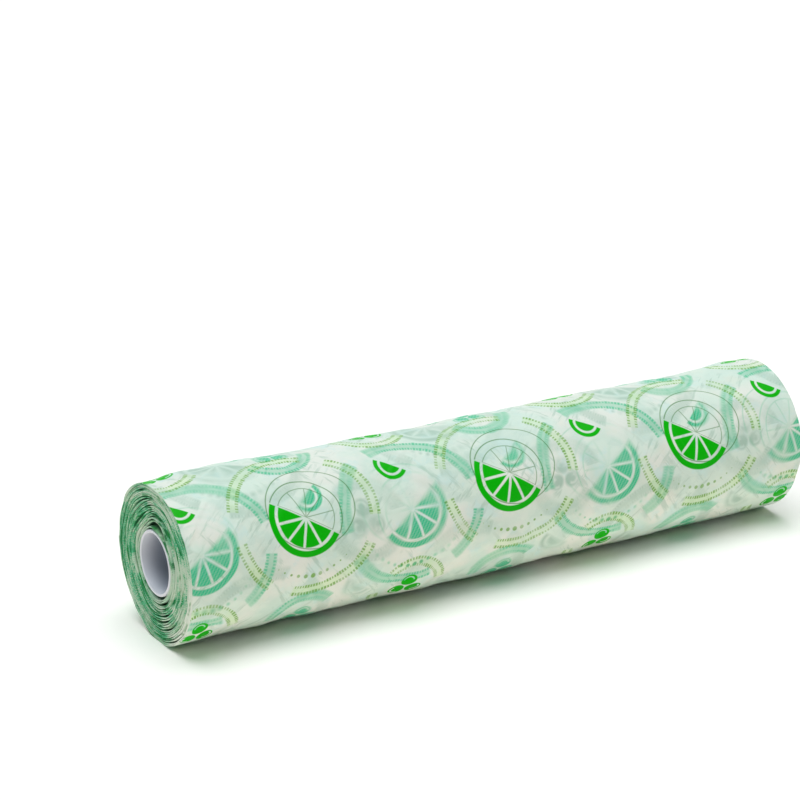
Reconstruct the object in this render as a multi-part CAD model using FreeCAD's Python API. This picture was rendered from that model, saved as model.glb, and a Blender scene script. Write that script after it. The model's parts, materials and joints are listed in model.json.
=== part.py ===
import FreeCAD, Part
import math
import os

# Vacuum sealer bag roll: a flattened tube of embossed film, wound on a hollow core.
#
# The roll lies on the floor with its axis along X. The origin is on the floor, below the axis and
# half-way along the roll, and +Z is up. The wound film is one strip, and its outline across X is made
# of half-circles whose two centres are half a pitch apart, which is a spiral with no kink in it.
# Upper halves turn about the roll's axis, and lower halves turn about the second centre.

# Driving dimensions, in millimetres
roll_width = 300.0  # the film, along X
core_length = 300.0
core_bore = 25.0  # clear diameter through the core
core_wall = 1.3
core_clearance = 0.15  # between the core and the innermost turn
strip_thickness = 0.45  # two plies and the embossed channels between them
air_gap = 0.55  # from one turn to the next
half_turns = 40
rest_gap = 0.2  # what is left of the air gap under the flat spot
rest_bend_radius = 12.0  # where the outermost turn bends down to the flat spot

# What follows from them
core_outer_radius = core_bore / 2 + core_wall
pitch = strip_thickness + air_gap
first_radius = core_outer_radius + core_clearance
last_lower_half = half_turns - 1 - half_turns % 2
flattening = air_gap - rest_gap
resting_radius = first_radius + last_lower_half * pitch / 2 + strip_thickness
axis_height = resting_radius - flattening

RIGHT = math.radians(0)
TOP = math.radians(90)
LEFT = math.radians(180)
BOTTOM = math.radians(270)


def section_point(centre, radius, angle):
    """The point of the film's end section at an angle from +Y towards +Z about a (y, z) centre."""
    y = centre[0] + radius * math.cos(angle)
    z = centre[1] + radius * math.sin(angle)
    return FreeCAD.Vector(-roll_width / 2, y, z)


def arc(centre, radius, start, end):
    points = [section_point(centre, radius, angle) for angle in (start, (start + end) / 2, end)]
    return Part.Arc(*points).toShape()


def flattened_half(centre, radius, flat_depth, bend_radius):
    """A lower half-circle whose bottom is cut to a flat, with a tangent arc at each side of it."""
    flat_z = centre[1] - flat_depth
    bend_rise = flat_depth - bend_radius
    half_flat = math.sqrt((radius - bend_radius) ** 2 - bend_rise**2)
    lean = math.atan2(half_flat, bend_rise)
    bend_left = (centre[0] - half_flat, flat_z + bend_radius)
    bend_right = (centre[0] + half_flat, flat_z + bend_radius)
    flat = Part.makeLine(
        section_point(bend_left, bend_radius, BOTTOM),
        section_point(bend_right, bend_radius, BOTTOM),
    )
    return [
        arc(centre, radius, LEFT, BOTTOM - lean),
        arc(bend_left, bend_radius, BOTTOM - lean, BOTTOM),
        flat,
        arc(bend_right, bend_radius, BOTTOM, BOTTOM + lean),
        arc(centre, radius, BOTTOM + lean, LEFT + math.pi),
    ]


def half_turn_circle(number):
    """The centre and radius of a half-turn's inner face, and the angle at which it starts."""
    radius = first_radius + number * pitch / 2
    if number % 2 == 0:
        return (0, axis_height), radius, RIGHT
    return (pitch / 2, axis_height), radius, LEFT


def half_turn(number, offset):
    """One half-turn of the strip's inner face, or of its outer face when offset is its thickness."""
    centre, radius, start = half_turn_circle(number)
    if number == last_lower_half:
        inward = strip_thickness - offset
        flat_depth = axis_height - inward
        return flattened_half(centre, radius + offset, flat_depth, rest_bend_radius - inward)
    return [arc(centre, radius + offset, start, start + math.pi)]


def strip_end(turned):
    """The cut edge across the strip's thickness, after a number of half-turns."""
    centre, radius, angle = half_turn_circle(turned)
    return Part.makeLine(
        section_point(centre, radius, angle),
        section_point(centre, radius + strip_thickness, angle),
    )


def film_roll():
    edges = [strip_end(0), strip_end(half_turns)]
    for number in range(half_turns):
        edges += half_turn(number, 0) + half_turn(number, strip_thickness)
    outline = Part.Wire(Part.__sortEdges__(edges))
    return Part.Face(outline).extrude(FreeCAD.Vector(roll_width, 0, 0))


def core_tube():
    start = FreeCAD.Vector(-core_length / 2, 0, axis_height)
    along = FreeCAD.Vector(1, 0, 0)
    outside = Part.makeCylinder(core_outer_radius, core_length, start, along)
    inside = Part.makeCylinder(core_bore / 2, core_length, start, along)
    return outside.cut(inside)


os.makedirs("parts", exist_ok=True)
film_roll().exportStep("parts/film_roll.step")
core_tube().exportStep("parts/core_tube.step")
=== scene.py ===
import json
import math
from functools import reduce

import bmesh
import bpy
import numpy as np
from bpy.props import FloatProperty, FloatVectorProperty, IntProperty, PointerProperty
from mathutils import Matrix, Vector, noise


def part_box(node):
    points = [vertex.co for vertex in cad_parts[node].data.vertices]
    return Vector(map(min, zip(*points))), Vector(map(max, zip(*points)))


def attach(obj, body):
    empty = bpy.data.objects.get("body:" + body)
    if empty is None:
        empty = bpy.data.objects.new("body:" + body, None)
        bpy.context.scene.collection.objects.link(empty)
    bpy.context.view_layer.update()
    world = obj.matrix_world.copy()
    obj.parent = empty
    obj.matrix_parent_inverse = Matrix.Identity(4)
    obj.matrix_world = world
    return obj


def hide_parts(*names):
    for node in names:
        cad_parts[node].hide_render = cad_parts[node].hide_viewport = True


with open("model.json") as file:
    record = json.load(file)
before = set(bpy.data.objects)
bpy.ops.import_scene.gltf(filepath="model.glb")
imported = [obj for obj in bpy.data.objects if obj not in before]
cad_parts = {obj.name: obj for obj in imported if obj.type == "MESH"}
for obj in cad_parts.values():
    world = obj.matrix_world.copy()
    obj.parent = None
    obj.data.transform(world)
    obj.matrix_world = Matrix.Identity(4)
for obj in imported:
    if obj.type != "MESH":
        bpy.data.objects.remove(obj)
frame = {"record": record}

bl_info = {
    "name": "Vacuum Sealer Bag Roll",
    "version": (1, 0, 0),
    "blender": (4, 5, 0),
    "location": "View3D > Sidebar > Bag Roll",
    "description": "Builds a roll of printed, embossed bag film on its core, in a studio",
    "category": "Object",
}

MM = 0.001
MM_IN_METRE = 1000
FULL_TURN = 2 * math.pi

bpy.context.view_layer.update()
FILM_LOW, FILM_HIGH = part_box("film_roll")
CORE_LOW, CORE_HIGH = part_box("core_tube")
MOUNTS = {mount["name"]: mount for mount in frame["record"]["mounts"]}
BORE_RADIUS = MOUNTS["core_bore"]["dims"]["r_mm"] / MM_IN_METRE
AXIS_HEIGHT = MOUNTS["core_bore"]["pos_m"][2]
HALF_WIDTH = (FILM_HIGH.x - FILM_LOW.x) / 2
CORE_HALF_LENGTH = (CORE_HIGH.x - CORE_LOW.x) / 2
CORE_RADIUS = (CORE_HIGH.y - CORE_LOW.y) / 2
# The outermost turn reaches as far above the bore's axis as in front of it, and a pitch
# further behind
TOP_RADIUS = -FILM_LOW.y
BACK_RADIUS = FILM_HIGH.y

# A dented turn, pressed down on the one below, keeps this share of its thickness
PRESSED_SHARE = 0.9
# How far in from a cut edge its two corners are rounded
EDGE_ROUNDING = 0.12 * MM
# The gaps between the turns: how deep each is cut, from how wide it stands
LEAST_GAP_DEPTH = 0.9 * MM
GAP_DEPTH_PER_WIDTH = 4.5
MOST_GAP_DEPTH = 8 * MM
# Lines of the film's bake map: the outer face, the turn below the loose end, the loose end's
# own faces, the bore's side, the caps (across, then lines) and the turns' edges (start, height)
BAKE_OUTER = (0.005, 0.775)
BAKE_BELOW_TAIL = (0.777, 0.781)
BAKE_TAIL = (0.782, 0.786, 0.789)
BAKE_BORE = (0.791, 0.797)
BAKE_CAPS = ((0.991, 0.995), (0.791, 0.795))
BAKE_EDGES, BAKE_EDGES_HEIGHT = 0.80, 0.198


# ---------------------------------------------------------------- settings


def Length(name, description, default):
    return FloatProperty(name=name, description=description, default=default, unit="LENGTH")


def Colour(name, description, default):
    return FloatVectorProperty(
        name=name, description=description, subtype="COLOR", size=4, default=(*default, 1)
    )


class FilmSizes(bpy.types.PropertyGroup):
    turns: IntProperty(
        name="Turns", description="How many times the strip goes round the core", default=20, min=4
    )
    strip_thickness: Length(
        "Strip thickness", "Two plies of film and the embossed channels between them", 0.45 * MM
    )
    edge_thickness: Length(
        "Edge thickness", "Mean thickness of the strip at its cut edges", 0.50 * MM
    )
    edge_wander: Length(
        "Edge wander", "How far the turns' edges stand out of line with each other", 0.30 * MM
    )
    core_gap: Length("Core gap", "Widest space between the core and the first turn", 1.3 * MM)
    tail_lift: Length(
        "Tail lift", "How far the strip's loose outer end stands off the turn below", 0.5 * MM
    )
    dent_depth: Length("Dent depth", "Depth of the soft dents", 0.7 * MM)
    crease_height: Length(
        "Crease height", "Height of the soft creases in the outermost turn", 0.5 * MM
    )
    crumple_depth: Length(
        "Crumple depth", "Depth of the shallow facets all over the outermost turn", 1.0 * MM
    )
    steps_per_turn: IntProperty(
        name="Steps per turn", description="Mesh columns in each turn", default=192, min=32
    )
    rows: IntProperty(
        name="Rows", description="Mesh rows along the outermost turn", default=220, min=20
    )
    seed: IntProperty(name="Seed", description="Changes the dents, creases and gaps", default=7)


class FilmPrint(bpy.types.PropertyGroup):
    column_pitch: Length("Column pitch", "From one slice to the next along the roll", 96 * MM)
    row_pitch: Length("Row pitch", "From one slice to the next along the strip", 88 * MM)
    slice_radius: Length("Slice radius", "Radius of a printed fruit slice", 16 * MM)
    film_colour: Colour("Film", "Frosted film", (0.705, 0.866, 0.775))
    bright_colour: Colour("Film, loose", "Film where air lies under it", (0.825, 0.87, 0.81))
    dull_colour: Colour("Film, deep", "Film where it lies on the next turn", (0.60, 0.785, 0.705))
    cool_colour: Colour("Film, cool", "Bluish haze in the film", (0.58, 0.835, 0.82))
    warm_colour: Colour("Film, warm", "Straw-coloured haze in the film", (0.775, 0.815, 0.70))
    ink_colour: Colour("Ink", "Solid printed green", (0.0, 0.46, 0.0))
    line_colour: Colour("Line ink", "Thin outlines", (0.06, 0.24, 0.05))
    tick_colour: Colour("Tick ink", "Rows of short ticks, and dots", (0.20, 0.44, 0.10))
    band_colour: Colour("Band ink", "Pale band between the rows of ticks", (0.62, 0.86, 0.50))
    veiled_colour: Colour(
        "Veiled ink", "The lower ply's print, seen through the upper ply", (0.02, 0.54, 0.27)
    )
    doubled_colour: Colour("Doubled ink", "Where the inks of both plies meet", (0.01, 0.36, 0.10))
    buried_colour: Colour(
        "Buried ink", "The next turn's print, seen through two plies", (0.37, 0.565, 0.465)
    )


class EdgeColours(bpy.types.PropertyGroup):
    plain: Colour("Edge", "Cut edge of bare film", (0.42, 0.64, 0.48))
    plain_bright: Colour("Edge, bright", "Brightest grains of a bare edge", (0.76, 0.86, 0.755))
    chalky: Colour("Edge, chalky", "Outer turns' palest patch", (0.82, 0.92, 0.84))
    green: Colour("Inked edge", "Cut edge with ink in it", (0.01, 0.35, 0.125))
    green_bright: Colour(
        "Inked edge, bright", "Brightest grains of an inked edge", (0.10, 0.65, 0.35)
    )
    soaked: Colour("Soaked edge", "Cut edge soaked with ink", (0.002, 0.19, 0.045))
    printed: Colour("Printed edge", "Where print runs off the edge", (0.0, 0.28, 0.02))
    # The gap colour is painted shade, laid on the turns' edges down in the gaps between them
    gap: Colour("Gap", "Down between the turns", (0.008, 0.08, 0.03))


class CoreColours(bpy.types.PropertyGroup):
    rim: Colour("Core", "Rim of the core", (0.69, 0.75, 0.83))
    rim_bright: Colour("Core, bright", "Palest cloud of the rim", (0.75, 0.81, 0.89))
    # The inside colours are painted shade: the same plastic, darkened because little light reaches
    # into the tube
    inside: Colour("Core, inside", "Further into the tube", (0.31, 0.365, 0.445))
    inside_bright: Colour(
        "Core, inside, bright", "Palest cloud further into the tube", (0.37, 0.425, 0.505)
    )


class StudioSettings(bpy.types.PropertyGroup):
    heading: FloatProperty(
        name="Heading", description="The camera's turn from the roll's front towards its far end",
        default=math.radians(-30.603), subtype="ANGLE",
    )
    elevation: FloatProperty(
        name="Elevation", description="How far the camera looks down",
        default=math.radians(19.566), subtype="ANGLE",
    )
    distance: Length("Distance", "From the roll's middle to the camera, along the view", 1.1806)
    aim_right: Length(
        "Aim right", "How far the view is centred to the right of the roll", -0.03116
    )
    aim_up: Length("Aim up", "How far the view is centred above the roll", 0.03964)
    focal_length: FloatProperty(
        name="Focal length", description="For a 36 mm wide sensor, in millimetres", default=125.05
    )
    sky_strength: FloatProperty(
        name="Sky", description="Light from all round", default=0.11
    )
    lamp_strength: FloatProperty(
        name="Lamp", description="Light from the large lamp above", default=2.8
    )


# ---------------------------------------------------------------- shader expressions


class Value:
    """A node's output that Python's operators work on: each adds the Math node it stands for."""

    def __init__(self, shader, socket):
        self.shader = shader
        self.socket = socket

    def math(self, operation, *others):
        sockets = dict(enumerate((self, *others)))
        return self.shader.node("Math", {"operation": operation}, sockets)

    def __add__(self, other):
        return self.math("ADD", other)

    __radd__ = __add__

    def __sub__(self, other):
        return self.math("SUBTRACT", other)

    def __rsub__(self, other):
        return (-self) + other

    def __mul__(self, other):
        return self.math("MULTIPLY", other)

    __rmul__ = __mul__

    def __truediv__(self, other):
        return self.math("DIVIDE", other)

    def __neg__(self):
        return self * -1

    def __abs__(self):
        return self.math("ABSOLUTE")

    def low(self, other):
        return self.math("MINIMUM", other)

    def high(self, other):
        return self.math("MAXIMUM", other)

    def floor(self):
        return self.math("FLOOR")

    def fraction(self):
        return self.math("FRACT")

    def sine(self):
        return self.math("SINE")

    def root(self):
        return self.math("SQRT")

    def above(self, threshold):
        return self.math("GREATER_THAN", threshold)


class Shader:
    """Nodes of one material or world, added by expressions."""

    def __init__(self, owner):
        owner.use_nodes = True
        self.owner = owner
        self.tree = owner.node_tree
        self.tree.nodes.clear()

    def node(self, kind, settings=(), sockets=(), output=0):
        made = self.tree.nodes.new("ShaderNode" + kind)
        for key, setting in dict(settings).items():
            setattr(made, key, setting)
        for key, value in dict(sockets).items():
            if isinstance(value, Value):
                self.tree.links.new(value.socket, made.inputs[key])
            else:
                made.inputs[key].default_value = value
        return Value(self, made.outputs[output] if made.outputs else None)

    def parts(self, vector):
        return [self.node("SeparateXYZ", (), {0: vector}, output=part) for part in range(3)]

    def vector(self, x, y, z=0.0):
        return self.node("CombineXYZ", (), {0: x, 1: y, 2: z})

    def mix(self, factor, first, second):
        settings = {"data_type": "RGBA"}
        return self.node("Mix", settings, {0: factor, 6: first, 7: second}, output=2)

    def layered(self, colour, *layers):
        """A colour with others laid over it in turn, each by its own factor."""
        for factor, over in layers:
            colour = self.mix(factor, colour, over)
        return colour

    def ramp(self, value, start, end, low=0.0, high=1.0, smooth=True):
        """value carried from start..end to low..high, and held there."""
        settings = {"interpolation_type": "SMOOTHSTEP" if smooth else "LINEAR"}
        sockets = {0: value, 1: start, 2: end, 3: low, 4: high}
        return self.node("MapRange", settings, sockets)

    def inside(self, distance, softness):
        """1 where a signed distance is negative and 0 where it is positive, over a soft edge."""
        return self.ramp(distance, softness / 2, -softness / 2, smooth=False)

    def noise(self, place, scale, detail=2.0, roughness=0.5):
        """Noise at a vector, or at a place given by its parts."""
        vector = self.vector(*place) if isinstance(place, tuple) else place
        sockets = {"Vector": vector, "Scale": scale, "Detail": detail, "Roughness": roughness}
        return self.node("TexNoise", (), sockets)

    def random(self, vector):
        return self.node("TexWhiteNoise", {"noise_dimensions": "3D"}, {"Vector": vector})

    def surface(self, **sockets):
        """A Principled surface as the material's output. Names have _ for each space."""
        named = {key.replace("_", " "): value for key, value in sockets.items()}
        self.finish(self.node("BsdfPrincipled", (), named))
        return self.owner

    def finish(self, shader):
        kind = "OutputWorld" if isinstance(self.owner, bpy.types.World) else "OutputMaterial"
        self.node(kind, (), {"Surface": shader})


def new_material(name):
    return Shader(bpy.data.materials.new(name))


# ---------------------------------------------------------------- the print on the film


def turned_axes(x, y, angle):
    """A place measured on axes turned by an angle."""
    cosine, sine = math.cos(angle), math.sin(angle)
    return x * cosine + y * sine, y * cosine - x * sine


def distance(x, y):
    return (x * x + y * y).root()


def polar(x, y):
    """How far a place is from the middle, and its angle round it."""
    return distance(x, y), y.math("ARCTAN2", x)


def fruit_slice(shader, x, y, radius, softness):
    """A round slice, half in solid segments and half in outline, as (solid, line) masks."""
    tilt = math.radians(34)
    segments = 10
    hub = 1.6
    across, below = turned_axes(x, y, tilt)
    reach, angle = polar(across, below)
    sector = FULL_TURN / segments
    from_spoke = abs((angle / sector + 0.5).fraction() - 0.5) * sector * reach
    rind = abs(reach - 0.92 * radius) - 0.08 * radius
    pulp = (reach - 0.76 * radius).high(0.55 - from_spoke).high(hub - reach)
    solid = rind.low(pulp).high(0.5 - below)
    outline = abs(reach - radius) - 0.24
    inner_line = abs(reach - 0.78 * radius) - 0.17
    spokes = (from_spoke - 0.15).high(reach - 0.78 * radius)
    beside, under = x - 3.5, y + 4
    loop = abs((beside * beside + under * under * 1.3).root() - 1.22 * radius) - 0.22
    lines = outline.low(inner_line).low(spokes).high(below).low(loop)
    return shader.inside(solid, softness), shader.inside(lines, softness)


def berries(shader, x, y, radius, softness):
    """Three round berries a third of a turn apart."""
    reach, angle = polar(x, y)
    apart = 1.25 * radius
    sector = FULL_TURN / 3
    aside = ((angle / sector + 0.25).fraction() - 0.5) * sector
    along = reach * aside.math("COSINE") - apart
    across = reach * aside.sine()
    berry = distance(along, across) - radius
    shine = abs(distance(along - 0.2, across + 0.3) - 0.62 * radius)
    shine = (shine - 0.3).high(along * -1 + 0.4)
    return shader.inside(berry.high(-shine), softness)


def ticked_ring(shader, reach, angle, radius, softness):
    """Two rings of short ticks, as (ticks, pale band that joins them) masks."""
    tick_pitch = 1.3
    cells = round(FULL_TURN * radius / tick_pitch)
    pitch = FULL_TURN * radius / cells
    across = reach - radius
    along = (angle / FULL_TURN + 0.5) * cells
    side = across.above(0.0)
    chance = shader.random(shader.vector(along.floor(), side, radius))
    spot = abs(along.fraction() - 0.5) * pitch
    row = abs(abs(across) - 1.75) - (chance * 0.35 + 0.5)
    tick = (spot - chance * 0.28 - 0.24).high(row)
    band = abs(across) - 2.2
    return shader.inside(tick, softness), shader.inside(band, softness * 1.5)


def arcs(shader, angle, stretches):
    """1 on the given stretches of a ring, each a middle and a half length in degrees."""
    away = [
        abs(((angle / FULL_TURN - middle / 360 + 0.5).fraction() - 0.5) * 360) - half
        for middle, half in stretches
    ]
    return shader.inside(reduce(Value.low, away), 1.5)


def dotted_arc(shader, reach, angle, radius, softness):
    """A curved row of dots under a slice, the largest in the middle."""
    pitch = math.radians(8)
    cell = ((angle - FULL_TURN / 4) / pitch + 0.5).floor()
    near = (angle - FULL_TURN / 4 - cell * pitch) * radius
    away = reach - radius
    size = 1.05 - abs(cell) * 0.17
    return shader.inside(distance(near, away) - size, softness)


def print_layer(shader, layout, x, s, softness):
    """Every mark of the print at a place in millimetres, as (solid, line, ticks, band) masks."""
    columns = layout.column_pitch / MM
    rows = layout.row_pitch / MM
    radius = layout.slice_radius / MM
    ring_radius, dots_radius = 1.94 * radius, 1.5 * radius
    berry_radius, berry_ring_radius = 3.6, 15.0
    first_row = 50
    s = s + first_row

    def nearest(right, up):
        near_x = ((x / columns - right / columns + 0.5).fraction() - 0.5) * columns
        near_s = ((s / rows - up / rows + 0.5).fraction() - 0.5) * rows
        return near_x, near_s

    slice_x, slice_s = nearest(0, 0)
    solid, line = fruit_slice(shader, slice_x, slice_s, radius, softness)
    reach, angle = polar(slice_x, slice_s)
    ring, ring_band = ticked_ring(shader, reach, angle, ring_radius, softness)
    shown = arcs(shader, angle, ((-118, 47), (-22, 30), (68, 38), (149, 21)))
    dots = dotted_arc(shader, reach, angle, dots_radius, softness)

    berry_x, berry_s = nearest(columns / 2, rows / 2)
    solid = solid.high(berries(shader, berry_x, berry_s, berry_radius, softness))
    berry_reach, berry_angle = polar(berry_x, berry_s)
    small, small_band = ticked_ring(
        shader, berry_reach, berry_angle, berry_ring_radius, softness
    )
    shown_small = arcs(shader, berry_angle, ((-70, 62), (105, 70)))

    wedge_x, wedge_s = nearest(45, -15)
    wedge_reach = distance(wedge_x, wedge_s)
    lean = wedge_s * 0.8 - wedge_x * 0.6
    wedge = (abs(wedge_reach - 6.2) - 0.9).low(wedge_reach - 4.2).high(-lean)
    solid = solid.high(shader.inside(wedge, softness))
    ticks = (ring * shown).high(small * shown_small).high(dots)
    band = (ring_band * shown).high(small_band * shown_small)
    return solid, line, ticks, band


def film_place(shader):
    """The film's own coordinates: millimetres along the roll and along the strip."""
    s, x, _ = shader.parts(shader.node("UVMap", {"uv_map": "Film"}))
    return x * MM_IN_METRE, s * MM_IN_METRE


def slanted_places(x, s, headings, stretch):
    """For each heading and its layer of noise: a drawn-out place for marks that run along the
    heading, and a plain one for where they show.
    """
    for heading, layer in headings:
        along, across = turned_axes(x, s, heading)
        yield (along * stretch, across, layer), (x, s, layer + 9)


def wandering_folds(shader, x, s):
    """Fine folds that wander across the film, where it was bent before it was wound."""
    folds = []
    for drawn_out, plain in slanted_places(x, s, ((0.9, 0.0), (-0.7, 20.0)), 0.3):
        level = shader.noise(drawn_out, 0.05, 1.5)
        here = shader.noise(plain, 0.03, 1.0)
        folds.append(shader.ramp(abs(level - 0.5), 0.045, 0.0) * shader.ramp(here, 0.45, 0.6))
    return reduce(Value.high, folds)


def smears(shader, x, s):
    """Short slanted smears, where print further down shows through in part."""
    marks = []
    for drawn_out, plain in slanted_places(x, s, ((0.95, 40.0), (-0.75, 60.0)), 0.18):
        streak = shader.noise(drawn_out, 0.42, 3.0, 0.6)
        here = shader.noise(plain, 0.045, 2.0)
        marks.append(shader.ramp(streak, 0.53, 0.66) * shader.ramp(here, 0.47, 0.60))
    return reduce(Value.high, marks)


def tinted_film(shader, layout, x, s):
    """Frosted film: milky where air lies under it, duller where the plies touch."""
    clouds = shader.noise((x, s), 0.06, 3.0, 0.55)
    touching = shader.noise((x * 0.8, s * 1.2, 70.0), 0.11, 4.0, 0.62)
    cream = shader.noise((x, s, 40.0), 0.045, 2.0)
    haze = shader.noise((x, s, 90.0), 0.08, 4.0, 0.65)
    return shader.layered(
        layout.film_colour,
        (shader.ramp(clouds, 0.35, 0.72, 0.0, 0.6), layout.dull_colour),
        (shader.ramp(touching, 0.51, 0.56, 0.0, 0.5), layout.dull_colour),
        (shader.ramp(cream, 0.46, 0.64, 0.0, 0.75), layout.bright_colour),
        (shader.ramp(haze, 0.54, 0.72, 0.0, 0.32), layout.warm_colour),
        (shader.ramp(haze, 0.48, 0.32, 0.0, 0.5), layout.cool_colour),
    )


def printed_film(layout):
    """Frosted film with its print, and the plies beneath seen through it, paler and softer."""
    shader = new_material("printed_film")
    x, s = film_place(shader)
    flat = shader.vector(x, s)
    wander = shader.noise(flat, 0.035, 1.0) - 0.5
    closeness = shader.ramp(shader.noise(flat, 0.05, 2.0), 0.36, 0.60)
    half_column = layout.column_pitch / MM / 2
    hatch_pitch = 1.3

    solid, line, ticks, band = print_layer(shader, layout, x, s, 0.35)
    veiled_place = (half_column - x + wander * 3, s + wander * -2 - 6)
    blur = 2.6 - closeness * 2.0
    veiled_print = print_layer(shader, layout, *veiled_place, blur)
    veiled, veiled_line, veiled_ticks, veiled_band = veiled_print
    buried_place = (x + wander * 6 + 22, s + wander * 5 + 38)
    depth = shader.ramp(shader.noise((x, s, 33.0), 0.07, 3.0), 0.35, 0.65)
    buried_print = print_layer(shader, layout, *buried_place, 1.6 + depth * 2.4)
    buried, _, buried_ticks, buried_band = buried_print

    ribs = ((x * 0.8 + s * 0.6) * (FULL_TURN / hatch_pitch)).sine()
    hatch = ribs * 0.6 + ribs * ((x * 0.6 - s * 0.8) * (FULL_TURN / hatch_pitch)).sine() * 0.4
    veil = (veiled * (0.86 + hatch * 0.14)).high(veiled_ticks * 0.75)
    veil = veil.high(veiled_line * (closeness * 0.35 + 0.05)) * (0.76 + closeness * 0.24)
    patchy = shader.ramp(shader.noise((x, s, 55.0), 0.09, 3.0), 0.36, 0.62)

    buried = buried.high(buried_ticks).high(buried_band * 0.6) * (0.85 - depth * 0.4)
    buried = buried.high(smears(shader, x, s) * 0.5)
    film = shader.layered(
        tinted_film(shader, layout, x, s),
        (buried, layout.buried_colour),
        (veiled_band * 0.36, layout.veiled_colour),
        (veil, layout.veiled_colour),
        (band * (0.20 + patchy * 0.35), layout.band_colour),
        (ticks * (0.60 + patchy * 0.35), layout.tick_colour),
        (veil * ticks.high(band * 0.7) * 0.9, layout.doubled_colour),
        (line * 0.8, layout.line_colour),
        (solid, layout.ink_colour),
    )

    crinkle = shader.noise((x * 0.6, s), 0.15, 3.0, 0.5)
    creases = wandering_folds(shader, x, s)
    height = crinkle * 0.9 + creases * 0.6 + hatch * 0.02
    bump = shader.node("Bump", (), {"Height": height, "Strength": 0.5, "Distance": 0.0006})
    rough = shader.ramp(shader.noise(flat, 0.4, 2.0), 0.3, 0.7, 0.40, 0.52)
    return shader.surface(Base_Color=film, Roughness=rough, Normal=bump, Specular_IOR_Level=0.10)


def film_edges(layout, colours, strip_length):
    """The cut edges of the turns: pale, with green where ink runs to the edge, and painted shade
    down in the gaps between the turns.
    """
    shader = new_material("film_edges")
    x, s = film_place(shader)
    depth = HALF_WIDTH * MM_IN_METRE - abs(x)
    length = strip_length * MM_IN_METRE
    # Each end of the roll takes its own part of the noise
    side = x.above(0.0) * 40
    _, y, z = shader.parts(shader.node("TexCoord", (), (), output=3))
    y = y * MM_IN_METRE
    z = (z - AXIS_HEIGHT) * MM_IN_METRE
    reach = distance(y, z)
    round_place = shader.vector(y / reach * 2.4, z / reach * 2.4, reach * 0.12 + side)
    patches = shader.noise(round_place, 1.0, 2.0)
    streaks = shader.noise((s * 0.055, reach * 0.6, side), 1.0, 2.0, 0.6)
    grit = shader.noise((y, z, side), 1.9, 2.0, 0.7)
    grain = (grit - 0.5) * 0.5
    bare = shader.ramp((y * -0.87 - z * 0.5) / reach, 0.66, 1.0)
    chalky = bare * shader.ramp(reach, 27.5, 31.0)
    bare = bare * shader.ramp(reach, 28.0, 31.5, 0.06, 0.3)
    inked = shader.ramp(patches * 0.4 + streaks * 0.6 + grain - bare, 0.42, 0.55)
    soaked = shader.ramp(streaks + patches * 0.3 + grain * 0.3 - bare, 0.70, 0.77)
    printed, _, _, _ = print_layer(shader, layout, x, s, 1.0)
    outside = shader.ramp(s, length - 420, length - 200)
    inside = shader.ramp(s, 420, 180)
    green = shader.mix(grit, colours.green, colours.green_bright)
    colour = shader.layered(
        colours.plain,
        (grit, colours.plain_bright),
        (chalky * 0.85, colours.chalky),
        (inked * (0.95 - outside.high(inside) * 0.5), green),
        (soaked * 0.9, colours.soaked),
        (printed * 0.5, colours.printed),
        # Painted shade: from 0.45 to 2 mm down between the turns, the edges darken to the gap
        # colour
        (shader.ramp(depth, 0.45, 2.0, 0.0, 0.94), colours.gap),
    )
    bump = shader.node("Bump", (), {"Height": grit, "Strength": 0.4, "Distance": 0.0002})
    return shader.surface(Base_Color=colour, Roughness=0.6, Normal=bump, Specular_IOR_Level=0.2)


def core_plastic(colours):
    """Smooth white plastic with a faint drawn grain along the tube, and painted shade that darkens
    it further inside.
    """
    shader = new_material("core_plastic")
    place = shader.node("TexCoord", (), (), output=3)
    x, y, z = shader.parts(place)
    grain = shader.noise((x * 6, y * 900, z * 900), 1.0, 2.0)
    cloud = shader.noise(place, 40.0, 2.0)
    colour = shader.mix(cloud, colours.rim, colours.rim_bright)
    depth = CORE_HALF_LENGTH - abs(x)
    inside = shader.mix(cloud, colours.inside, colours.inside_bright)
    # Painted shade: from the rim to 9.5 mm in, the colour darkens to the inside colours, for the
    # shade deep in the tube
    colour = shader.mix(shader.ramp(depth, 0.0, 9.5 * MM), colour, inside)
    bump = shader.node("Bump", (), {"Height": grain, "Strength": 0.12, "Distance": 0.0002})
    rough = shader.ramp(grain, 0.3, 0.7, 0.5, 0.6)
    return shader.surface(Base_Color=colour, Roughness=rough, Normal=bump, Specular_IOR_Level=0.25)


# ---------------------------------------------------------------- the wound film's shape


def noise_along(places, size, seed):
    """Smooth noise, about -1 to 1, at each of a row of places."""
    return np.array([noise.noise(Vector((place / size, seed, 0.37))) for place in places]) * 2


def smooth_rise(value, start, end):
    share = np.clip((value - start) / (end - start), 0, 1)
    return share * share * (3 - 2 * share)


def bell(value, centre, width):
    return np.exp(-(((value - centre) / width) ** 2))


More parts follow.
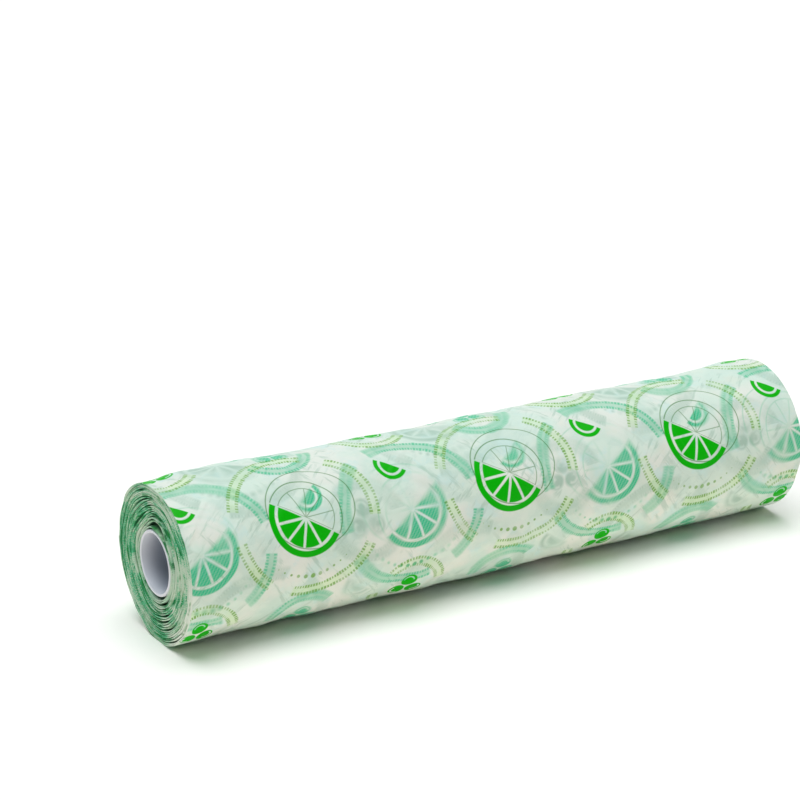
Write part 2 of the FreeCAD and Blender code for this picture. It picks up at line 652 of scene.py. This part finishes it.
class Winding:
    """The strip's way round the core, with one entry for each step from the core outwards."""

    def __init__(self, sizes):
        self.sizes = sizes
        self.steps = sizes.steps_per_turn
        self.count = self.steps * sizes.turns
        step = np.arange(self.count + 1)
        self.angle = step * FULL_TURN / self.steps
        self.turned = step % self.steps * FULL_TURN / self.steps
        # Above the axis a turn keeps its radius, and below it climbs by one pitch
        falling = self.turned > math.pi
        self.climb = np.where(falling, (1 + np.cos(self.turned)) / 2, 0.0)
        self.turn = step // self.steps
        self.pitch = BACK_RADIUS - TOP_RADIUS
        first = TOP_RADIUS - sizes.strip_thickness - self.pitch * (sizes.turns - 1)
        self.inner = first + self.pitch * (self.turn + self.climb)
        arc = np.hypot(np.diff(self.inner), (self.inner[:-1] + self.inner[1:]) / 2 * self.angle[1])
        self.length = np.concatenate([[0], np.cumsum(arc)])

    def outer_radius(self, relief):
        """The outermost turn's outer face, no lower than the floor."""
        last = slice(self.count - self.steps, None)
        radius = self.inner[last, None] + self.sizes.strip_thickness + relief
        down = np.maximum(-np.sin(self.turned[last]), 1e-6)[:, None]
        return np.minimum(radius, AXIS_HEIGHT / down)

    def packed(self, relief, loose, seed):
        """Inner radii at one end, where the turns lie unevenly and leave gaps here and there.

        Each loose place gives a turn, the middle and half length of its gap in degrees, and
        how wide the gap stands.
        """
        sizes = self.sizes
        steps = self.steps
        turns = sizes.turns
        turned = self.turned[:steps]
        above = bell(turned, math.radians(84), math.radians(32))
        below = bell(turned, math.radians(276), math.radians(40))
        opening = sizes.core_gap * (0.55 * above + below)
        spread = noise_along(self.angle[: steps * (turns - 1)], 1.1, seed)
        spread = spread.reshape(turns - 1, steps)
        inward = np.linspace(1, 0, turns - 1)[:, None]
        uneven = 1.5 * (0.45 + 0.55 * inward) * (1 - 0.5 * above * (1 - inward))
        weight = np.exp(uneven * spread) * (1 + 2.2 * below * inward + 1.6 * above * inward**3)
        for turn, middle, half, opened in loose:
            weight[turn] *= 1 + opened * bell(turned, math.radians(middle), math.radians(half))
        mean_at_start = weight[:, 0].mean()
        settle = smooth_rise(np.linspace(0, 1, steps), 0.6, 1.0)
        weight[-1] = weight[-1] * (1 - settle) + mean_at_start * settle
        share_at_start = weight[0, 0] / weight[:, 0].sum()
        slack = (turns - 1) * (self.pitch - sizes.strip_thickness)
        first_rise = sizes.strip_thickness + slack * share_at_start
        slack = slack + (self.pitch - first_rise) * self.climb[:steps] - opening
        gaps = slack * weight / weight.sum(0)
        first = self.inner[0] + first_rise * self.climb[:steps] + opening
        rises = np.vstack([first, gaps + sizes.strip_thickness])
        radii = np.cumsum(rises, 0).ravel()
        radii = np.append(radii, self.inner[-1])
        radii += self._carried(relief)
        return radii

    def _carried(self, relief):
        """The outermost turn's dents, handed down to the turns beneath and fading inwards."""
        last = self.outer_radius(relief[:, None])[:, 0]
        last -= self.inner[self.count - self.steps :] + self.sizes.strip_thickness
        column = np.arange(self.count + 1) % self.steps
        change = last[column]
        change[-1] = last[-1]
        reach = (self.angle / self.angle[-1]) ** 6
        return change * np.where(self.angle >= self.angle[-1] - FULL_TURN, 1.0, reach)


def noise_round(angle, reach, along):
    """Smooth noise over an angle and a place along, that meets itself after a full turn."""
    return np.array(
        [
            [noise.noise(Vector((math.cos(a) * reach, math.sin(a) * reach, w))) for w in along]
            for a in angle
        ]
    )


def surface_noise(angle, across, size, seed):
    """Smooth noise over the outermost turn, about -1 to 1, with features of one size all over."""
    return 2 * noise_round(angle, TOP_RADIUS / size, across / size + seed)


def crumple(sizes, angle, across):
    """Shallow facets that meet in fine creases, deeper in some places than in others."""
    patches = surface_noise(angle, across, 45 * MM, sizes.seed + 60)
    depth = 0.35 + 0.65 * smooth_rise(patches, -0.4, 0.5)
    facets = 0
    for size, share, seed in ((26 * MM, 0.65, 20), (11 * MM, 0.35, 40)):
        facets = facets + share * np.abs(surface_noise(angle, across, size, sizes.seed + seed))
    return sizes.crumple_depth * depth * (facets - facets.mean())


def outer_relief(sizes, winding, across):
    """Dents, creases and crumple of the outermost turn, over angle and place along X."""
    random = np.random.default_rng(sizes.seed)
    angle = winding.turned[-winding.steps - 1 :].copy()
    angle[-1] = FULL_TURN
    radius = TOP_RADIUS
    around = angle[:, None] * radius
    along = across[None, :]
    relief = np.zeros((len(angle), len(across)))

    def local(place_around, place_along, heading):
        turn = FULL_TURN * radius
        away = (around - place_around + turn / 2) % turn - turn / 2
        return turned_axes(along - place_along, away, heading)

    def anywhere():
        return random.uniform(0, FULL_TURN * radius), random.uniform(-HALF_WIDTH, HALF_WIDTH)

    dents, creases = 16, 34
    for _ in range(dents):
        forward, sideways = local(*anywhere(), random.uniform(-0.9, 0.9))
        size = random.uniform(9, 22) * MM
        hollow = bell(forward, 0, size * 1.8) * bell(sideways, 0, size)
        relief -= sizes.dent_depth * random.uniform(0.4, 1.0) * hollow
    for _ in range(creases):
        forward, sideways = local(
            *anywhere(), random.choice([-1, 1]) * random.uniform(0.25, 1.2)
        )
        width = random.uniform(2.2, 4.5) * MM
        length = random.uniform(12, 34) * MM
        bend = sideways + 0.12 * forward**2 / length
        fold = bell(bend, 0, width) - 0.7 * bell(bend, 1.5 * width, 1.3 * width)
        relief += sizes.crease_height * random.uniform(0.3, 1.0) * fold * bell(forward, 0, length)
    for depth, degrees, centre, heading, long, wide in (
        (1.0 * MM, 88, -0.076, 0.5, 10 * MM, 16 * MM),
        (1.5 * MM, 84, -HALF_WIDTH, 0.1, 11 * MM, 20 * MM),
        (-0.9 * MM, 98, -0.110, -0.2, 15 * MM, 17 * MM),
    ):
        forward, sideways = local(math.radians(degrees) * radius, centre, heading)
        relief -= depth * bell(forward, 0, long) * bell(sideways, 0, wide)

    relief += 0.7 * MM * noise_round(angle, 1.1, across * 22 + sizes.seed)
    relief += crumple(sizes, angle, across)
    # The film lies flatter where the roll rests
    resting = bell(angle, math.radians(270), math.radians(24))[:, None]
    relief *= 1 - 0.85 * resting
    # Both edges of the seam under the tail keep the strip's own radius
    easing = 0.25
    seam = smooth_rise(angle, 0, easing) * (1 - smooth_rise(angle, FULL_TURN - easing, FULL_TURN))
    relief *= seam[:, None]
    return relief


def tail_relief(sizes, winding, across):
    """How the strip's loose end lies: down on the turn below, and lifting here and there."""
    angle = np.linspace(0, FULL_TURN, winding.steps + 1)
    rise = smooth_rise(angle, FULL_TURN - 0.9, FULL_TURN)
    curl = np.array([noise.noise(Vector((x * 17, 4.2, sizes.seed))) for x in across])
    lip = smooth_rise(angle, FULL_TURN - 0.35, FULL_TURN)
    settled = sizes.strip_thickness + 0.12 * MM - winding.pitch
    lift = sizes.tail_lift * np.maximum(curl + 0.15, 0)
    return settled * rise[:, None] + lip[:, None] * lift[None, :]


def finished_mesh(made, sharp_angle):
    """Drop unused points, turn the faces outwards, and shade smooth up to the given angle."""
    work = bmesh.new()
    work.from_mesh(made)
    unused = [point for point in work.verts if not point.link_faces]
    bmesh.ops.delete(work, geom=unused, context="VERTS")
    bmesh.ops.recalc_face_normals(work, faces=work.faces)
    work.to_mesh(made)
    work.free()
    made.polygons.foreach_set("use_smooth", np.ones(len(made.polygons), bool))
    made.set_sharp_from_angle(angle=sharp_angle)
    return made


class Patches:
    """Vertices and faces gathered from grids of points, with a place on two maps for each
    corner.
    """

    def __init__(self):
        self.points = []
        self.faces = []
        self.film_map = []
        self.bake_map = []
        self.slots = []

    def add_points(self, points):
        points = np.asarray(points, float)
        start = sum(len(some) for some in self.points)
        self.points.append(points.reshape(-1, 3))
        return np.arange(start, start + points.size // 3).reshape(points.shape[:-1])

    def grid(self, numbers, film_map, bake_map, slot):
        """Faces between the points of a grid of vertex numbers."""
        kept = (self.faces, self.film_map, self.bake_map)
        for corners, source in zip(kept, (numbers, film_map, bake_map)):
            found = [source[:-1, :-1], source[1:, :-1], source[1:, 1:], source[:-1, 1:]]
            stacked = np.stack(found, axis=2)
            corners.append(stacked.reshape(-1, 4, *source.shape[2:]))
        self.slots.append(np.full((numbers.shape[0] - 1) * (numbers.shape[1] - 1), slot))

    def mesh(self, name, materials):
        faces = np.concatenate(self.faces)
        made = bpy.data.meshes.new(name)
        made.from_pydata(np.concatenate(self.points).tolist(), [], faces.tolist())
        for layer, places in (("Film", self.film_map), ("OFBake", self.bake_map)):
            flat = np.concatenate(places).reshape(-1)
            made.uv_layers.new(name=layer).uv.foreach_set("vector", flat.astype(np.float32))
        for material in materials:
            made.materials.append(material)
        made.polygons.foreach_set("material_index", np.concatenate(self.slots).astype(np.int32))
        made.uv_layers.active = made.uv_layers["Film"]
        made.validate()
        return finished_mesh(made, math.radians(52))


def on_film(length, along):
    """Map coordinates for broadcastable arrays of places."""
    return np.stack(np.broadcast_arrays(length, along), axis=-1)


def along_bake_map(along):
    """Places along the roll, as shares of the bake map's width inside its margins."""
    return (along[None, :] + HALF_WIDTH) / (2 * HALF_WIDTH) * 0.98 + 0.01


def place(along, radius, angle):
    return np.stack(
        np.broadcast_arrays(along, radius * np.cos(angle), AXIS_HEIGHT + radius * np.sin(angle)),
        axis=-1,
    )


def end_section(sizes, winding, relief, outer, side, loose):
    """Points and widths of the turns' profile at one end, for every step of the strip.

    relief and outer are the outermost turn's dents and outer radii at this end. loose gives
    the places where gaps stand open.
    """
    steps, count, turns = winding.steps, winding.count, sizes.turns
    last = slice(count - steps, None)
    inside_last = slice(None, count - steps + 1)
    seed = sizes.seed + 10.5 * side
    inner = winding.packed(relief, loose, seed)
    inner[last] = outer - sizes.strip_thickness
    # A dent presses each turn down on the one below, as far as it reaches
    for start in range(count - 2 * steps, -1, -steps):
        outside = inner[start + steps : start + 2 * steps]
        here = inner[start : start + steps]
        np.minimum(here, outside - PRESSED_SHARE * sizes.strip_thickness, out=here)
    thick = sizes.edge_thickness * (1 + 0.22 * noise_along(winding.length, 0.009, seed + 3))
    high = inner + thick
    high[last] = outer
    # The strip keeps clear of the turn outside it
    high[inside_last] = np.minimum(high[inside_last], inner[steps:] - 0.05 * MM)
    high[count - steps] = outer[0]
    ruffle = 0.05 * MM * noise_along(winding.length, 0.004, seed + 5)
    stand = sizes.edge_wander * (
        0.7 * noise_along(winding.angle, 1.9, seed + 7)
        + 0.4 * noise_along(winding.length, 0.006, seed + 8)
    )
    top = HALF_WIDTH - 0.2 * MM + stand
    gap = np.zeros(count + 1)
    gap[inside_last] = inner[steps:] - high[inside_last]
    depth = np.minimum(LEAST_GAP_DEPTH + GAP_DEPTH_PER_WIDTH * gap, MOST_GAP_DEPTH)
    # The last gap grows shallow towards the seam
    seam = (turns - 1) * FULL_TURN
    depth *= 1 - 0.85 * smooth_rise(winding.angle, (turns - 1.08) * FULL_TURN, seam)
    body = high - inner
    profile = [
        (inner, top - EDGE_ROUNDING),
        (inner + 0.3 * body + ruffle, top),
        (inner + 0.7 * body + ruffle, top),
        (high, top - EDGE_ROUNDING),
        (high + gap / 2, top - depth),
    ]
    points = np.stack([place(side * x, r, winding.angle) for r, x in profile], axis=1)
    return points, np.stack([HALF_WIDTH - (top - x) for _, x in profile], axis=1)


def add_edges(patches, sizes, winding, numbers, widths, side):
    """Every turn's cut edge at one end, and the gap between it and the next turn."""
    steps, turns = winding.steps, sizes.turns
    # Where each point of the profile falls in its turn's line of the bake map
    shares = np.array([0.04, 0.22, 0.42, 0.60, 0.78, 0.96])
    for turn in range(turns):
        here = np.arange(turn * steps, (turn + 1) * steps + 1)
        next_turn = here + steps
        film = on_film(winding.length[here, None], side * widths[here])
        used = numbers[here]
        if turn < turns - 1:
            used = np.hstack([used, numbers[next_turn, :1]])
            after = on_film(winding.length[next_turn, None], side * widths[next_turn, :1])
            film = np.concatenate([film, after], axis=1)
        else:
            used = used[:, :4]
            film = film[:, :4]
        lines = (side > 0) * turns + turn + shares[: used.shape[1]]
        line = BAKE_EDGES + BAKE_EDGES_HEIGHT * lines / (2 * turns)
        bake = on_film(np.linspace(0.01, 0.99, steps + 1)[:, None], line[None, :])
        patches.grid(used, film, bake, 1)


def add_tail_end(patches, sizes, winding, outer, skin, ends, along):
    """Under the loose end: the turn below, a crack that runs back beneath it, and the cut edge."""
    left, right = ends
    steps, count = winding.steps, winding.count
    rows = along[1:-1]
    tuck = 5 * MM
    under = outer[0, 1:-1]
    lifted = outer[-1, 1:-1] - sizes.strip_thickness
    last_angle = winding.angle[-1]
    back = last_angle - tuck / BACK_RADIUS
    crack = patches.add_points(place(rows, (under + lifted) / 2 - 0.1 * MM, back))
    underside = patches.add_points(place(rows, lifted, last_angle))
    crack = np.concatenate([left[[count - steps], 4], crack, right[[count - steps], 4]])
    underside = np.concatenate([left[[count], 0], underside, right[[count], 0]])
    below_tail = winding.length[count - steps]
    tail_end = winding.length[count]
    for chain, lengths, lines in (
        ((skin[0], crack), (below_tail, below_tail - tuck), BAKE_BELOW_TAIL),
        ((crack, underside, skin[-1]), (tail_end - tuck, tail_end, tail_end), BAKE_TAIL),
    ):
        film = on_film(np.array(lengths)[:, None], along[None, :])
        bake = on_film(along_bake_map(along), np.array(lines)[:, None])
        patches.grid(np.stack(chain), film, bake, 0)


def add_bore_and_caps(patches, winding, ends):
    """The bore's side, the strip's inner end, and the caps where its edges stop."""
    steps, count = winding.steps, winding.count
    both_ends = np.array([[-HALF_WIDTH, HALF_WIDTH]])
    first = np.arange(steps + 1)
    bore = np.stack([numbers[first, 0] for numbers in ends], axis=1)
    bake = on_film(np.array([[0.01, 0.49]]), np.linspace(*BAKE_BORE, steps + 1)[:, None])
    patches.grid(bore, on_film(winding.length[first, None], both_ends), bake, 1)
    starts = [[some[0, 0], some[0, 3], some[0, 4], some[steps, 0]] for some in ends]
    bake = on_film(np.array([[0.51, 0.99]]), np.linspace(*BAKE_BORE, 4)[:, None])
    patches.grid(np.array(starts).T, on_film(np.zeros((4, 1)), both_ends), bake, 1)
    across, lines = BAKE_CAPS
    for step in (0, count):
        for numbers in ends:
            film = on_film(np.full((2, 2), winding.length[step]), np.full((2, 2), HALF_WIDTH))
            bake = on_film(np.array(across)[None, :], np.array(lines)[:, None])
            patches.grid(numbers[step, [[0, 3], [1, 2]]], film, bake, 1)


def wound_film(sizes):
    """The whole roll of film as one closed mesh, with its turns cut open at both ends."""
    winding = Winding(sizes)
    steps, count = winding.steps, winding.count
    last = np.arange(count - steps, count + 1)
    inset = 1.6 * MM
    rows = np.linspace(-HALF_WIDTH + inset, HALF_WIDTH - inset, sizes.rows)
    across = np.concatenate([[-HALF_WIDTH], rows, [HALF_WIDTH]])
    relief = outer_relief(sizes, winding, across)
    outer = winding.outer_radius(relief + tail_relief(sizes, winding, across))
    patches = Patches()
    ends = []
    for end, side, loose in (
        (0, -1, ((0, 92, 28, 3.5), (4, 284, 20, 6))),
        (-1, 1, ((1, 74, 26, 5), (7, 262, 24, 4))),
    ):
        section = end_section(sizes, winding, relief[:, end], outer[:, end], side, loose)
        points, widths = section
        numbers = patches.add_points(points)
        # The outermost turn has no gap outside it
        numbers[count - steps + 1 :, 4] = -1
        add_edges(patches, sizes, winding, numbers, widths, side)
        ends.append(numbers)

    left, right = ends
    points = place(rows[None, :], outer[:, 1:-1], winding.angle[last][:, None])
    body = patches.add_points(points)
    skin = np.hstack([left[last, 3:4], body, right[last, 3:4]])
    edge = HALF_WIDTH - EDGE_ROUNDING
    along = np.concatenate([[-edge], rows, [edge]])
    film = on_film(winding.length[last, None], along[None, :])
    bake = on_film(along_bake_map(along), np.linspace(*BAKE_OUTER, steps + 1)[:, None])
    patches.grid(skin, film, bake, 0)
    add_tail_end(patches, sizes, winding, outer, skin, ends, along)
    add_bore_and_caps(patches, winding, ends)
    return patches


# ---------------------------------------------------------------- the core


def core_mesh():
    """The tube with softly rounded rims, as one ring of section points swept round the axis."""
    wall = CORE_RADIUS - BORE_RADIUS
    rim = 0.42 * wall
    straight = CORE_HALF_LENGTH - rim
    corner = np.radians(np.arange(0, 91, 22.5))
    section = []
    for side in (-1, 1):
        outer = [
            (side * (straight + rim * math.sin(a)), CORE_RADIUS - rim + rim * math.cos(a))
            for a in corner
        ]
        inner = [
            (side * (straight + rim * math.cos(a)), BORE_RADIUS + rim - rim * math.sin(a))
            for a in corner
        ]
        ring = outer + inner
        section += ring if side > 0 else ring[::-1]
    section = np.array(section)
    segments = 160
    angle = np.arange(segments) * FULL_TURN / segments
    # Such a tube is never quite round
    oval = 1 + 0.004 * np.cos(2 * angle + 0.6)
    points = place(section[None, :, 0], section[None, :, 1] * oval[:, None], angle[:, None])
    numbers = np.arange(points.size // 3).reshape(points.shape[:-1])
    onward = np.roll(numbers, -1, 0)
    faces = [numbers, onward, np.roll(onward, -1, 1), np.roll(numbers, -1, 1)]
    made = bpy.data.meshes.new("core_sleeve")
    corners = np.stack(faces, axis=-1).reshape(-1, 4)
    made.from_pydata(points.reshape(-1, 3).tolist(), [], corners.tolist())
    return finished_mesh(made, math.radians(50))


# ---------------------------------------------------------------- operators


def add_object(name, data):
    made = bpy.data.objects.new(name, data)
    bpy.context.scene.collection.objects.link(made)
    return made


def add_piece(name, mesh, node):
    piece = add_object(name, mesh)
    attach(piece, "root")
    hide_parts(node)
    return piece


class ROLL_OT_film(bpy.types.Operator):
    """Build the wound film, with its print and the cut edges of its turns"""

    bl_idname = "roll.film"
    bl_label = "Build the film"

    def execute(self, context):
        scene = context.scene
        sizes, layout = scene.roll_film, scene.roll_print
        patches = wound_film(sizes)
        strip_length = Winding(sizes).length[-1]
        skin = printed_film(layout)
        edges = film_edges(layout, scene.roll_edges, strip_length)
        mesh = patches.mesh("wound_film", [skin, edges])
        add_piece("wound_film", mesh, "film_roll")
        return {"FINISHED"}


class ROLL_OT_core(bpy.types.Operator):
    """Build the core tube"""

    bl_idname = "roll.core"
    bl_label = "Build the core"

    def execute(self, context):
        mesh = core_mesh()
        mesh.materials.append(core_plastic(context.scene.roll_core))
        add_piece("core_sleeve", mesh, "core_tube")
        return {"FINISHED"}


def seen_directly(shader):
    """1 for a ray that shows the background itself or its reflection, and 0 for a lighting ray."""
    rays = [
        shader.node("LightPath", (), (), output=name)
        for name in ("Is Camera Ray", "Is Glossy Ray", "Is Transmission Ray")
    ]
    return reduce(Value.high, rays)


class ROLL_OT_studio(bpy.types.Operator):
    """Set up the floor, the light and the camera"""

    bl_idname = "roll.studio"
    bl_label = "Build the studio"

    def execute(self, context):
        studio = context.scene.roll_studio
        self.add_floor()
        self.add_light(context, studio)
        self.add_camera(context, studio)
        context.scene.view_settings.view_transform = "Standard"
        return {"FINISHED"}

    def add_floor(self):
        half = 6.0
        mesh = bpy.data.meshes.new("floor")
        corners = [(-half, -half, 0), (half, -half, 0), (half, half, 0), (-half, half, 0)]
        mesh.from_pydata(corners, [], [(0, 1, 2, 3)])
        shader = new_material("floor")
        # Over 1, the floor gives the roll more light from below than paper could, in place of
        # the low fill cards of a studio
        giving = (1.33, 1.20, 1.11, 1)
        colour = shader.mix(seen_directly(shader), giving, (1.07, 1.08, 1.06, 1))
        shader.finish(shader.node("BsdfDiffuse", (), {"Color": colour}))
        mesh.materials.append(shader.owner)
        floor = add_object("floor", mesh)

    def add_light(self, context, studio):
        world = bpy.data.worlds.new("studio")
        context.scene.world = world
        shader = Shader(world)
        white = (1, 1, 1, 1)
        strength = shader.ramp(seen_directly(shader), 0, 1, studio.sky_strength, 1.0, smooth=False)
        shader.finish(shader.node("Background", (), {"Color": white, "Strength": strength}))
        lamp = bpy.data.lights.new("overhead", "SUN")
        lamp.energy = studio.lamp_strength
        lamp.angle = math.radians(56)
        overhead = add_object("overhead", lamp)
        overhead.rotation_euler = Vector((0.06, 0, -1)).to_track_quat("-Z", "Y").to_euler()

    def add_camera(self, context, studio):
        heading, elevation = studio.heading, studio.elevation
        forward = Vector(
            (
                -math.sin(heading) * math.cos(elevation),
                math.cos(heading) * math.cos(elevation),
                -math.sin(elevation),
            )
        )
        right = Vector((math.cos(heading), math.sin(heading), 0))
        up = right.cross(forward)
        middle = Vector((0, 0, AXIS_HEIGHT))
        data = bpy.data.cameras.new("camera")
        data.lens = studio.focal_length
        data.clip_start = 0.05
        data.clip_end = 50
        camera = add_object("camera", data)
        camera.location = (
            middle + right * studio.aim_right + up * studio.aim_up - forward * studio.distance
        )
        camera.rotation_euler = forward.to_track_quat("-Z", "Y").to_euler()
        context.scene.camera = camera


class ROLL_PT_panel(bpy.types.Panel):
    bl_idname = "ROLL_PT_panel"
    bl_label = "Bag Roll"
    bl_space_type = "VIEW_3D"
    bl_region_type = "UI"
    bl_category = "Bag Roll"

    def draw(self, context):
        scene = context.scene
        for groups, operator in (
            ((scene.roll_film, scene.roll_print, scene.roll_edges), "roll.film"),
            ((scene.roll_core,), "roll.core"),
            ((scene.roll_studio,), "roll.studio"),
        ):
            box = self.layout.box()
            for group in groups:
                for name in group.bl_rna.properties.keys():
                    if name not in ("rna_type", "name"):
                        box.prop(group, name)
            box.operator(operator)


SETTINGS = {
    "roll_film": FilmSizes,
    "roll_print": FilmPrint,
    "roll_edges": EdgeColours,
    "roll_core": CoreColours,
    "roll_studio": StudioSettings,
}
CLASSES = (
    *SETTINGS.values(),
    ROLL_OT_film,
    ROLL_OT_core,
    ROLL_OT_studio,
    ROLL_PT_panel,
)


def register():
    for item in CLASSES:
        bpy.utils.register_class(item)
    for name, group in SETTINGS.items():
        setattr(bpy.types.Scene, name, PointerProperty(type=group))


def unregister():
    for name in reversed(SETTINGS):
        delattr(bpy.types.Scene, name)
    for item in reversed(CLASSES):
        bpy.utils.unregister_class(item)


def main():
    register()
    bpy.ops.roll.studio()
    bpy.ops.roll.core()
    bpy.ops.roll.film()


if __name__ == "__main__":
    main()
